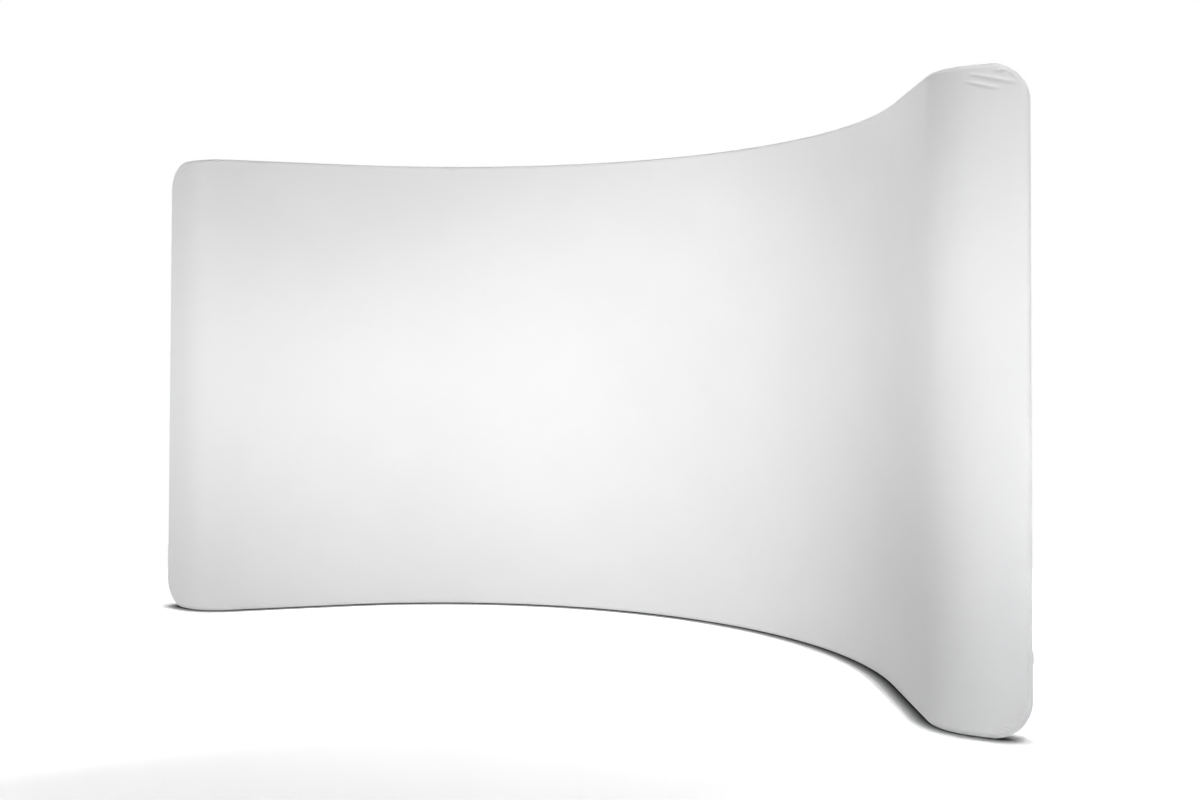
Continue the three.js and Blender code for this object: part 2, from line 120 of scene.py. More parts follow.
# The sleeve's grid.
# A rounded rectangle of lengths and heights, with its four grid corners at 45 degrees.
def outlineGrid(runSpacing, bendSpacing, endSpacing, postMarks, cornerSteps):
    straightEnd = halfLength - cornerRadius
    arcSteps = np.linspace(0, math.pi / 4, cornerSteps + 1)
    half = spread([
        (0, bendStart - 0.06, runSpacing),
        (bendStart - 0.06, bendEnd - 0.06, bendSpacing),
        (bendEnd - 0.06, straightEnd, endSpacing),
    ])
    halfRun = np.concatenate([half, straightEnd + cornerRadius * np.sin(arcSteps[1:])])
    halfTurn = np.concatenate([np.zeros(len(half)), arcSteps[1:]])
    run = np.concatenate([-halfRun[:0:-1], halfRun])
    turn = np.concatenate([halfTurn[:0:-1], halfTurn])
    rise = cornerRadius * (1 - np.cos(turn))

    upper = np.linspace(math.pi / 4, math.pi / 2, cornerSteps + 1)
    post = spread(postMarks)
    low = bottomAxis + cornerRadius * (1 - np.cos(upper))
    high = topAxis - cornerRadius * (1 - np.cos(upper[::-1]))
    height = np.concatenate([low[:-1], post, high[1:]])
    rowTurn = np.concatenate([upper[:-1], np.full(len(post), math.pi / 2), upper[-2::-1]])
    reach = straightEnd + cornerRadius * np.sin(rowTurn)

    share = (height - height[0]) / (height[-1] - height[0])
    gridRun = run[:, None] * reach[None, :] / reach[0]
    gridHeight = height[None, :] + (1 - 2 * share)[None, :] * (rise - rise[-1])[:, None]
    return {"run": gridRun, "height": gridHeight, "turn": turn, "rowTurn": rowTurn}


# The grid's rim in order: bottom, right post, top, left post, as (column, row, outward).
def rimOf(grid):
    columns, rows = grid["run"].shape
    stations = []

    def onRail(i, j, up):
        side, turn = math.copysign(1, grid["run"][i, 0]), grid["turn"][i]
        stations.append((i, j, side * math.sin(turn), up * math.cos(turn)))

    def onPost(i, j, side):
        up, turn = -1 if j < rows / 2 else 1, grid["rowTurn"][j]
        stations.append((i, j, side * math.sin(turn), up * math.cos(turn)))

    for i in range(columns):
        onRail(i, 0, -1)
    for j in range(1, rows - 1):
        onPost(columns - 1, j, 1)
    for i in reversed(range(columns)):
        onRail(i, rows - 1, 1)
    for j in reversed(range(1, rows - 1)):
        onPost(0, j, -1)
    index = np.array([(i, j) for i, j, _, _ in stations])
    outward = np.array([(u, v) for _, _, u, v in stations])
    return index, outward


# How far a stretched skin leaves the plan of the rails, at lengths and shares of the height.
# A weak sideways pull rounds the plan off towards mid height, and the posts hold the ends.
def slack(run, share, pull):
    count = 1024
    even = np.linspace(-halfLength, halfLength, count + 1)
    plan = walkPlan(even)[0][:, :2]
    trend = plan[0] + (plan[-1] - plan[0]) * np.linspace(0, 1, count + 1)[:, None]
    bent = plan - trend
    mirrored = np.concatenate([bent[:-1], -bent[:0:-1]])
    waves = np.fft.rfft(mirrored, axis=0)
    rate = np.fft.rfftfreq(2 * count, even[1] - even[0]) * 2 * math.pi * math.sqrt(pull)
    tall = topAxis - bottomAxis
    moved = np.zeros(run.shape + (3,))
    for j in range(run.shape[1]):
        height = tall * np.clip(share[:, j], 0, 1)
        depth = height * (tall - height)
        kept = np.exp(-0.5 * rate[None, :] ** 2 * np.median(depth))
        soft = np.fft.irfft(waves * kept[0][:, None], axis=0)[:count + 1] - bent
        for axis in (0, 1):
            moved[:, j, axis] = np.interp(run[:, j], even, soft[:, axis])
    return moved


# Vertex positions and UVs of one side of a panel: its flat skin and its wrap round the frame.
# radius(angle, run, height, outward) is the distance from the tube's axis.
def panelSide(grid, angles, radius, bulge, wrapFolds):
    run, height = grid["run"], grid["height"]
    point, tangent, back = walkPlan(run)
    startAngle, edgeAngle = angles[0]
    facing = -math.cos(startAngle)
    skinRadius = radius(np.full(run.shape, startAngle), run, height, None)
    offset = facing * (skinRadius + bulge(run, height))
    low, high = height[:, :1], height[:, -1:]
    raised = (height - low) / (high - low)
    skin = point + back * offset[..., None] + slack(run, raised, sleeveShape["sidePull"])
    skin[..., 2] = height
    index, outward = rimOf(grid)
    rimRun = run[index[:, 0], index[:, 1]]
    rimHeight = height[index[:, 0], index[:, 1]]
    centre = point[index[:, 0], index[:, 1]].copy()
    centre[:, 2] = rimHeight
    rimBack = back[index[:, 0], index[:, 1]]
    rimOut = tangent[index[:, 0], index[:, 1]] * outward[:, :1]
    rimOut[:, 2] = outward[:, 1]
    rings = []
    ringUvs = []
    foldEnd = sleeveShape["weltStart"]
    for share in angles[1][1:]:
        angle = startAngle + (edgeAngle(rimRun, rimHeight, outward) - startAngle) * share
        far = radius(angle, rimRun, rimHeight, outward)
        reached = np.abs(angle - startAngle) * far
        flatRun = rimRun + outward[:, 0] * reached
        flatHeight = rimHeight + outward[:, 1] * reached
        alive = 1 - smoothStep(0.4 * foldEnd, foldEnd, reached / far)
        far = far + alive * wrapFolds(flatRun, flatHeight)
        ring = centre - rimBack * (far * np.cos(angle))[:, None]
        ring += rimOut * (far * np.sin(angle))[:, None]
        ring[:, 2] = np.maximum(ring[:, 2], 0)
        rings.append(ring)
        ringUvs.append(np.stack([flatRun, flatHeight], -1))
    skinUv = np.stack([run, height], -1)
    return skin, skinUv, rings, ringUvs, index


# Points and quads of one side, numbered from `first`.
def sideFaces(skin, rings, index, first):
    columns, rows = skin.shape[:2]
    points = [skin.reshape(-1, 3)] + rings
    number = first + np.arange(columns * rows).reshape(columns, rows)
    faces = []
    quads = np.stack([number[:-1, :-1], number[1:, :-1], number[1:, 1:], number[:-1, 1:]], -1)
    faces.extend(quads.reshape(-1, 4).tolist())
    loop = number[index[:, 0], index[:, 1]]
    start = first + columns * rows
    for ring in rings:
        nextLoop = np.arange(start, start + len(ring))
        ahead, nextAhead = np.roll(loop, -1), np.roll(nextLoop, -1)
        faces.extend(np.stack([loop, ahead, nextAhead, nextLoop], -1).tolist())
        loop = nextLoop
        start += len(ring)
    return np.concatenate(points), faces, loop, start


# A closed panel: a fine outside, a lining with every second line of it, and a folded edge.
def panelMesh(name, grid, skinAngle, edgeAngle, shares, outside, lining, bulge, wrapFolds):
    angles = ((skinAngle, edgeAngle), shares)
    skin, skinUv, rings, ringUvs, index = panelSide(grid, angles, outside, bulge, wrapFolds)
    points, faces, edge, following = sideFaces(skin, rings, index, 0)
    uvs = [skinUv.reshape(-1, 2)] + ringUvs
    coarse = {
        "run": grid["run"][::2, ::2],
        "height": grid["height"][::2, ::2],
        "turn": grid["turn"][::2],
        "rowTurn": grid["rowTurn"][::2],
    }
    coarseAngles = ((skinAngle, edgeAngle), shares[::2])
    inner, innerUv, innerRings, innerRingUvs, innerIndex = panelSide(
        coarse, coarseAngles, lining, bulge, wrapFolds)
    innerPoints, innerFaces, innerEdge, _ = sideFaces(inner, innerRings, innerIndex, following)
    faces.extend([face[::-1] for face in innerFaces])
    uvs.extend([innerUv.reshape(-1, 2)] + innerRingUvs)
    for k in range(len(innerEdge)):
        a, b, c = edge[2 * k], edge[2 * k + 1], edge[(2 * k + 2) % len(edge)]
        p, q = innerEdge[k], innerEdge[(k + 1) % len(innerEdge)]
        faces.extend([[p, a, b], [p, b, q], [q, b, c]])
    return meshObject(name, np.concatenate([points, innerPoints]), faces, np.concatenate(uvs))


def placeObject(name, data):
    thing = bpy.data.objects.new(name, data)
    bpy.context.scene.collection.objects.link(thing)
    return thing


# The mesh that an object's modifiers or curve make. The object itself is dropped.
def evaluatedMesh(thing):
    evaluated = thing.evaluated_get(bpy.context.evaluated_depsgraph_get())
    mesh = bpy.data.meshes.new_from_object(evaluated)
    bpy.data.objects.remove(thing)
    return mesh


def meshObject(name, points, faces, uvs):
    mesh = bpy.data.meshes.new(name)
    mesh.from_pydata([tuple(p) for p in points], [], faces)
    layer = mesh.uv_layers.new(name="fabric")
    corners = np.empty(len(mesh.loops), np.int32)
    mesh.loops.foreach_get("vertex_index", corners)
    layer.data.foreach_set("uv", uvs[corners].astype(np.float32).ravel())
    work = bmesh.new()
    work.from_mesh(mesh)
    bmesh.ops.recalc_face_normals(work, faces=work.faces)
    work.to_mesh(mesh)
    work.free()
    mesh.shade_smooth()
    return placeObject(name, mesh)


# Shader groups.
def addNode(tree, kind, **settings):
    node = tree.nodes.new(kind)
    for key, value in settings.items():
        setattr(node, key, value)
    return node


# Sets inputs by label, with "_" for a space in it.
def setInputs(node, **values):
    for label, value in values.items():
        node.inputs[label.replace("_", " ")].default_value = value


def nodeGroup(name, treeKind, inputs, outputs):
    group = bpy.data.node_groups.new(name, treeKind)
    for label, kind, value in inputs:
        socket = group.interface.new_socket(
            name=label, in_out="INPUT", socket_type="NodeSocket" + kind)
        if value is not None:
            socket.default_value = value
    for label, kind in outputs:
        group.interface.new_socket(name=label, in_out="OUTPUT", socket_type="NodeSocket" + kind)
    return group, addNode(group, "NodeGroupInput"), addNode(group, "NodeGroupOutput")


def mathNode(tree, operation, first, second):
    node = addNode(tree, "ShaderNodeMath", operation=operation)
    for socket, value in ((node.inputs[0], first), (node.inputs[1], second)):
        if isinstance(value, bpy.types.NodeSocket):
            tree.links.new(value, socket)
        elif value is not None:
            socket.default_value = value
    return node.outputs[0]


# Loops of a warp knit: upright wales crossed by courses, as a height from 0 to 1.
def knitGroup():
    group, given, out = nodeGroup(
        "knitLoops", "ShaderNodeTree",
        [("Vector", "Vector", None), ("Wale Pitch", "Float", 0.0011),
         ("Course Pitch", "Float", 0.0008)],
        [("Height", "Float")],
    )
    split = addNode(group, "ShaderNodeSeparateXYZ")
    group.links.new(given.outputs["Vector"], split.inputs[0])
    waves = []
    for axis, pitch in (("X", "Wale Pitch"), ("Y", "Course Pitch")):
        turns = mathNode(group, "DIVIDE", split.outputs[axis], given.outputs[pitch])
        waves.append(mathNode(group, "SINE", mathNode(group, "MULTIPLY", turns, 2 * math.pi), None))
    crossed = mathNode(group, "MULTIPLY", waves[0], waves[1])
    ribbed = mathNode(group, "ADD", mathNode(group, "MULTIPLY", waves[0], 0.6), crossed)
    level = mathNode(group, "ADD", mathNode(group, "MULTIPLY", ribbed, 0.3), 0.5)
    group.links.new(level, out.inputs["Height"])
    return group


# Slow cloudy change over a surface: a mask from 0 to 1.
def cloudGroup():
    group, given, out = nodeGroup(
        "slowClouds", "ShaderNodeTree",
        [("Vector", "Vector", None), ("Size", "Float", 0.3), ("Detail", "Float", 3.0)],
        [("Mask", "Float")],
    )
    scale = mathNode(group, "DIVIDE", 1.0, given.outputs["Size"])
    noise = addNode(group, "ShaderNodeTexNoise")
    group.links.new(given.outputs["Vector"], noise.inputs["Vector"])
    group.links.new(scale, noise.inputs["Scale"])
    group.links.new(given.outputs["Detail"], noise.inputs["Detail"])
    sharper = addNode(group, "ShaderNodeMapRange")
    setInputs(sharper, From_Min=0.3, From_Max=0.7)
    group.links.new(noise.outputs["Fac"], sharper.inputs["Value"])
    group.links.new(sharper.outputs["Result"], out.inputs["Mask"])
    return group


knitLoops = knitGroup()
slowClouds = cloudGroup()


def groupNode(tree, group, vector, **values):
    node = addNode(tree, "ShaderNodeGroup", node_tree=group)
    tree.links.new(vector, node.inputs["Vector"])
    setInputs(node, **values)
    return node


def startMaterial(name, metallic=0.0, sheen=0.0, specular=0.5):
    material = bpy.data.materials.new(name)
    material.use_nodes = True
    tree = material.node_tree
    shader = next(n for n in tree.nodes if n.type == "BSDF_PRINCIPLED")
    setInputs(shader, Metallic=metallic, Sheen_Weight=sheen, Specular_IOR_Level=specular)
    return material, tree, shader


# Colour and roughness that drift with a mask, between the two values a look gives for each.
def drift(tree, shader, mask, look):
    colour = addNode(tree, "ShaderNodeMix", data_type="RGBA")
    tree.links.new(mask, colour.inputs["Factor"])
    colour.inputs[6].default_value = (*look["dark"], 1)
    colour.inputs[7].default_value = (*look["light"], 1)
    tree.links.new(colour.outputs[2], shader.inputs["Base Color"])
    rough = addNode(tree, "ShaderNodeMapRange")
    tree.links.new(mask, rough.inputs["Value"])
    setInputs(rough, To_Min=look["roughness"][0], To_Max=look["roughness"][1])
    tree.links.new(rough.outputs["Result"], shader.inputs["Roughness"])


def bumpInto(tree, shader, height, distance):
    bump = addNode(tree, "ShaderNodeBump")
    setInputs(bump, Strength=1.0, Distance=distance)
    tree.links.new(height, bump.inputs["Height"])
    tree.links.new(bump.outputs["Normal"], shader.inputs["Normal"])


def stretchKnit():
    look = {
        "light": (0.90, 0.90, 0.90), "dark": (0.88, 0.88, 0.885), "roughness": (0.72, 0.86),
        "walePitch": 0.0012, "coursePitch": 0.0009, "relief": 0.00006, "cloudSize": 0.35,
    }
    material, tree, shader = startMaterial("stretchKnit", sheen=0.12, specular=0.3)
    shader.inputs["Sheen Roughness"].default_value = 0.6
    uv = addNode(tree, "ShaderNodeUVMap", uv_map="fabric").outputs["UV"]
    clouds = groupNode(tree, slowClouds, uv, Size=look["cloudSize"], Detail=4.0)
    drift(tree, shader, clouds.outputs["Mask"], look)
    knit = groupNode(
        tree, knitLoops, uv, Wale_Pitch=look["walePitch"], Course_Pitch=look["coursePitch"])
    bumpInto(tree, shader, knit.outputs["Height"], look["relief"])
    return material


def tapeTwill():
    look = {
        "light": (0.86, 0.86, 0.85), "dark": (0.80, 0.80, 0.79), "roughness": (0.8, 0.92),
        "ribPitch": 0.0007, "relief": 0.00012,
    }
    material, tree, shader = startMaterial("tapeTwill", specular=0.3)
    uv = addNode(tree, "ShaderNodeUVMap", uv_map="fabric").outputs["UV"]
    ribs = groupNode(
        tree, knitLoops, uv, Wale_Pitch=look["ribPitch"], Course_Pitch=look["ribPitch"] * 1.5)
    # The colour follows the ribs' height and is darker in the grooves: painted shade in the
    # grooves.
    drift(tree, shader, ribs.outputs["Height"], look)
    bumpInto(tree, shader, ribs.outputs["Height"], look["relief"])
    return material


def objectVector(tree):
    return addNode(tree, "ShaderNodeTexCoord").outputs["Object"]


def coilNylon():
    look = {"light": (0.84, 0.84, 0.83), "dark": (0.78, 0.78, 0.77), "roughness": (0.32, 0.45)}
    material, tree, shader = startMaterial("coilNylon")
    clouds = groupNode(tree, slowClouds, objectVector(tree), Size=0.004, Detail=2.0)
    drift(tree, shader, clouds.outputs["Mask"], look)
    return material


def seamThread():
    look = {"light": (0.9, 0.9, 0.89), "dark": (0.78, 0.78, 0.77), "roughness": (0.55, 0.7),
            "strandSize": 0.0004, "relief": 0.0001}
    material, tree, shader = startMaterial("seamThread", sheen=0.1)
    strands = groupNode(tree, slowClouds, objectVector(tree), Size=look["strandSize"], Detail=1.0)
    drift(tree, shader, strands.outputs["Mask"], look)
    bumpInto(tree, shader, strands.outputs["Mask"], look["relief"])
    return material


# Bare metal with fine marks, drawn out along the object's axes by "stretch".
metalLooks = {
    "satinAluminium": {
        "light": (0.74, 0.75, 0.77), "dark": (0.66, 0.67, 0.69), "roughness": (0.30, 0.44),
        "markSize": 0.004, "stretch": (1, 1, 0.03), "relief": 0.00004,
    },
    "turnedSteel": {
        "light": (0.77, 0.78, 0.79), "dark": (0.66, 0.67, 0.68), "roughness": (0.2, 0.34),
        "markSize": 0.0015, "stretch": (1, 1, 1), "relief": 0.00003,
    },
    "zipMetal": {
        "light": (0.74, 0.75, 0.76), "dark": (0.62, 0.63, 0.64), "roughness": (0.22, 0.36),
        "markSize": 0.002, "stretch": (1, 1, 1), "relief": 0.00003,
    },
}


def workedMetal(name):
    look = metalLooks[name]
    material, tree, shader = startMaterial(name, metallic=1.0)
    mapping = addNode(tree, "ShaderNodeMapping")
    tree.links.new(objectVector(tree), mapping.inputs["Vector"])
    mapping.inputs["Scale"].default_value = look["stretch"]
    marks = groupNode(
        tree, slowClouds, mapping.outputs["Vector"], Size=look["markSize"], Detail=5.0)
    drift(tree, shader, marks.outputs["Mask"], look)
    bumpInto(tree, shader, marks.outputs["Mask"], look["relief"])
    return material


sleeveLook = stretchKnit()
tapeLook = tapeTwill()
coilLook = coilNylon()
threadLook = seamThread()
tubeLook, buttonLook, zipMetalLook = [workedMetal(name) for name in metalLooks]
print("materials made")


# The sleeve.
sleeveShape = {
    "outside": 0.0178,  # tube axis to the outside of the fabric
    "lining": 0.0164,
    "frontEdge": math.radians(101.25),
    "backEdge": math.radians(102.25),
    "zipEdge": math.radians(159),  # the back panel's edge along the zip
    "zipTop": 0.3,
    "sidePull": 0.006,  # sideways tension as a share of the upright tension
    "bow": 0.002,  # more forward bow of the front skin at mid height
    "sag": 0.007,  # how far the back skin sinks between the uprights
    "weltRise": 0.0012,
    "grooveDepth": 0.0011,
    "weltStart": math.radians(30),  # where the zip hem's groove runs round the tube
    "hemBulk": 0.0028,  # folded hem and zip at the lower ends
}

# Puckers that run into the seam of the lower corners, and the long creases of the upper ones.
cornerPuckers = {
    "count": 11,
    "heights": (0.013, 0.118),  # where the lowest and the highest one meet the seam
    "reach": (0.078, 0.034),  # length inwards from the seam at the first and the last height
    "slope": (math.radians(-6), math.radians(13)),
    "halfWidth": 0.0034,
    "rise": 0.0038,
    "seamReach": 0.009,  # the seam lies this far outside the corner's centre line
    "stagger": 0.2,  # uneven spacing, as a share of one step
    "sway": 4,  # degrees
    "lengths": (0.75, 1.2),  # these three vary each pucker by a factor
    "rises": (0.55, 1.1),
    "widths": (0.85, 1.25),
    "peak": 0.75,  # where along its length a pucker is highest
    "seed": 4,
    "leftShare": 0.35,  # the left corners are pulled smoother
}
topCreases = [
    # inset from the end, drop from the top, direction, length, half width, rise
    (0.204, 0.031, math.radians(-14.7), 0.172, 0.0060, 0.0066),
    (0.216, 0.056, math.radians(-15.3), 0.130, 0.0058, 0.0056),
    (0.118, 0.030, math.radians(3), 0.050, 0.0050, 0.0052),
    (0.078, 0.026, math.radians(-32), 0.058, 0.0050, 0.0054),
    (0.430, 0.017, math.radians(2), 0.150, 0.0056, 0.0052),
]
creasePeak = 0.5
foldsReach = 0.5  # no fold lies further in from the end


# A ridge along a line, highest at a share of its length, over (distance from the end, height).
def ridge(inset, height, start, direction, length, halfWidth, rise, peak):
    dx, dz = -math.cos(direction), math.sin(direction)
    along = (inset - start[0]) * dx + (height - start[1]) * dz
    across = (inset - start[0]) * dz - (height - start[1]) * dx
    share = np.clip(along / length, 0, 1)
    climb = np.sin(math.pi / 2 * np.clip(share / peak, 0, 1))
    fall = np.cos(math.pi / 2 * np.clip((share - peak) / (1 - peak), 0, 1))
    width = halfWidth * (0.75 + 0.5 * share)
    return rise * np.minimum(climb, fall) * np.exp(-(across / width) ** 2)


def betweenEnds(ends, share):
    return ends[0] + (ends[1] - ends[0]) * share


def puckers(inset, height, side):
    fan = cornerPuckers
    chance = np.random.default_rng(fan["seed"] + (side > 0))
    middle = (cornerRadius + sleeveShape["outside"], bottomAxis + cornerRadius)
    seamRadius = cornerRadius + fan["seamReach"]
    total = np.zeros_like(inset)
    for k in range(fan["count"]):
        step = k + chance.uniform(-fan["stagger"], fan["stagger"])
        share = min(max(step / (fan["count"] - 1), 0), 1)
        place = math.acos((middle[1] - betweenEnds(fan["heights"], share)) / seamRadius)
        direction = betweenEnds(fan["slope"], share)
        direction += math.radians(chance.uniform(-fan["sway"], fan["sway"]))
        length = betweenEnds(fan["reach"], share) * chance.uniform(*fan["lengths"])
        start = (middle[0] - seamRadius * math.sin(place) + length * math.cos(direction),
                 middle[1] - seamRadius * math.cos(place) - length * math.sin(direction))
        rise = fan["rise"] * chance.uniform(*fan["rises"])
        width = fan["halfWidth"] * chance.uniform(*fan["widths"])
        total += ridge(inset, height, start, direction, length, width, rise, fan["peak"])
    return total


def creases(inset, height):
    total = np.zeros_like(inset)
    for start, drop, direction, length, halfWidth, rise in topCreases:
        origin = (start, wallPlan["height"] - drop)
        total += ridge(inset, height, origin, direction, length, halfWidth, rise, creasePeak)
    return total


# 0 at the rails and 1 at mid height.
def arched(height):
    rising = (height - bottomAxis) / (topAxis - bottomAxis)
    return np.sin(math.pi * np.clip(rising, 0, 1))


def frontBulge(run, height):
    spanned = 1 - smoothStep(halfArc, bendStart, np.abs(run))
    return sleeveShape["bow"] * arched(height) * spanned + folds(run, height)


# The sharp folds alone, which also run on over the first part of the wrap.
def folds(run, height):
    inset = halfLength + sleeveShape["outside"] - np.abs(run)
    total = np.zeros_like(inset)
    for side, strength in ((-1, cornerPuckers["leftShare"]), (1, 1.0)):
        here = (inset < foldsReach) & (np.sign(run) == side)
        near, level = inset[here], height[here]
        total[here] = strength * (puckers(near, level, side) + creases(near, level))
    return total


def backBulge(run, height):
    supports = [-bendStart] + uprightRuns + [bendStart]
    nearest = np.min([np.abs(run - s) for s in supports], axis=0)
    between = smoothStep(0.02, 0.45, nearest) * (np.abs(run) < bendStart)
    return -sleeveShape["sag"] * arched(height) ** 0.6 * between


def frontRadius(angle, run, height, outward):
    shape = sleeveShape
    radius = np.full(np.shape(angle), shape["outside"])
    if outward is None:
        return radius
    start = shape["weltStart"]
    groove = np.exp(-((angle - start) / 0.045) ** 2)
    welt = smoothStep(start, start + 0.2, angle) * (1 - smoothStep(1.3, 1.6, angle))
    below = 1 - smoothStep(shape["zipTop"] - 0.006, shape["zipTop"] + 0.006, height)
    hem = below * outward[:, 0] ** 2
    hem = hem * smoothStep(start, start + 0.4, angle) * (1 - 0.9 * smoothStep(1.5, 1.76, angle))
    zipped = 1 - smoothStep(shape["zipTop"] - 0.01, shape["zipTop"] + 0.05, height)
    radius = radius + (shape["weltRise"] * welt - shape["grooveDepth"] * groove) * zipped
    return radius + shape["hemBulk"] * hem


# A radius, an angle or a fold that is the same all over.
def steady(value):
    return lambda where, *others: np.full(np.shape(where), value)


# The back panel stops short of the zip below its ends, and meets the front panel above them.
def backEdgeAngle(run, height, outward):
    shape = sleeveShape
    above = smoothStep(shape["zipTop"] - 0.006, shape["zipTop"] + 0.004, height)
    return shape["zipEdge"] + (shape["backEdge"] - shape["zipEdge"]) * above


postMarks = [
    (bottomAxis + cornerRadius, 0.20, 0.0035),
    (0.20, 0.288, 0.011),
    (0.288, 0.312, 0.002),
    (0.312, 1.95, 0.1),
    (1.95, 2.05, 0.025),
    (2.05, topAxis - cornerRadius, 0.005),
]


# An even number of stretches lets the lining take every second line.
def evened(stretches):
    made = []
    for start, end, spacing in stretches:
        count = 2 * max(1, round((end - start) / spacing / 2))
        made.append((start, end, (end - start) / count))
    return made


frontShares = np.radians(
    [0, 8, 16, 22, 26, 28, 30, 32, 34, 38, 45, 54, 63, 72, 81, 91, 101.25]) / math.radians(101.25)
backShares = np.linspace(0, 1, 13)
frontGrid = outlineGrid(0.045, 0.012, 0.0035, evened(postMarks), 32)
backGrid = outlineGrid(0.04, 0.012, 0.012, evened([
    (bottomAxis + cornerRadius, 0.288, 0.02),
    (0.288, 0.312, 0.002),
    (0.312, topAxis - cornerRadius, 0.06),
]), 12)

lined = steady(sleeveShape["lining"])
sleeveFront = panelMesh(
    "sleeveFront", frontGrid, 0.0, steady(sleeveShape["frontEdge"]), frontShares, frontRadius,
    lined, frontBulge, folds)
sleeveBack = panelMesh(
    "sleeveBack", backGrid, math.pi, backEdgeAngle, backShares, steady(sleeveShape["outside"]),
    lined, backBulge, steady(0.0))
for panel in (sleeveFront, sleeveBack):
    panel.data.materials.append(sleeveLook)
print("sleeve made:", len(sleeveFront.data.polygons), "+", len(sleeveBack.data.polygons), "faces")


# The zip.
zipShape = {
    "top": 0.294,
    "frontTape": (math.radians(102.4), math.radians(120.8)),
    "backTape": (math.radians(139.2), math.radians(157.8)),
    "tapeOutside": 0.0178,
    "tapeInside": 0.0168,
    "teethAngle": math.radians(130),
    "teethRadius": 0.0177,
}


# Centres, outward directions and back normals of the tube along the zip, end to end.
def zipStations(spacing, cornerCount, top):
    straightEnd = halfLength - cornerRadius
    turns = np.linspace(0, math.pi / 2, cornerCount + 1)
    half = spread([
        (0, bendStart, spacing),
        (bendStart, bendEnd, spacing / 4),
        (bendEnd, straightEnd, spacing),
    ])
    run = np.concatenate([half, straightEnd + cornerRadius * np.sin(turns[1:]), [halfLength]])
    turn = np.concatenate([np.zeros(len(half)), turns[1:], [math.pi / 2]])
    height = np.concatenate([
        np.full(len(half), bottomAxis), bottomAxis + cornerRadius * (1 - np.cos(turns[1:])), [top]])
    run = np.concatenate([-run[:0:-1], run])
    side = np.sign(run)
    turn = np.concatenate([turn[:0:-1], turn])
    height = np.concatenate([height[:0:-1], height])
    centre, tangent, back = walkPlan(run)
    centre[:, 2] = height
    outward = tangent * (side * np.sin(turn))[:, None]
    outward[:, 2] = -np.cos(turn)
    length = np.concatenate([[0], np.cumsum(np.linalg.norm(np.diff(centre, axis=0), axis=1))])
    return centre, outward, back, length


def aroundTube(stations, angle, radius):
    centre, outward, back, _ = stations
    direction = -back * math.cos(angle) + outward * math.sin(angle)
    return centre + direction * radius, direction


# A tape that lies on the tube between two angles, with rounded selvedges.
def zipTape(name, angles, stations):
    shape = zipShape
    middle = (shape["tapeOutside"] + shape["tapeInside"]) / 2
    section = []
    for share in (0.02, 0.12, 0.5, 0.88, 0.98):
        section.append((betweenEnds(angles, share), shape["tapeOutside"]))
    section.append((angles[1], middle))
    for share in (0.96, 0.5, 0.04):
        section.append((betweenEnds(angles, share), shape["tapeInside"]))
    section.append((angles[0], middle))
    rings = [aroundTube(stations, angle, radius)[0] for angle, radius in section]
    points = np.stack(rings, 1)
    count, size = points.shape[:2]
    number = np.arange(count * size).reshape(count, size)
    around = np.roll(number, -1, 1)
    faces = np.stack([number[:-1], number[1:], around[1:], around[:-1]], -1).reshape(-1, 4).tolist()
    faces.append(number[0].tolist())
    faces.append(number[-1][::-1].tolist())
    points[..., 2] = np.maximum(points[..., 2], 0.0002)
    across = np.array([angle * shape["tapeOutside"] for angle, _ in section])
    uvs = np.stack(np.broadcast_arrays(across[None, :], stations[3][:, None]), -1)
    return meshObject(name, points.reshape(-1, 3), faces, uvs.reshape(-1, 2))


zipLine = zipStations(0.03, 24, zipShape["top"])
zipTapeFront = zipTape("zipTapeFront", zipShape["frontTape"], zipLine)
zipTapeBack = zipTape("zipTapeBack", zipShape["backTape"], zipLine)
for tape in (zipTapeFront, zipTapeBack):
    tape.data.materials.append(tapeLook)


# A line of edges that carries its outward direction, for the trees that follow it.
def guideLine(name, points, directions):
    mesh = bpy.data.meshes.new(name)
    edges = [(k, k + 1) for k in range(len(points) - 1)]
    mesh.from_pydata([tuple(p) for p in points], edges, [])
    outward = mesh.attributes.new("outward", "FLOAT_VECTOR", "POINT")
    outward.data.foreach_set("vector", directions.astype(np.float32).ravel())
    return placeObject(name, mesh)


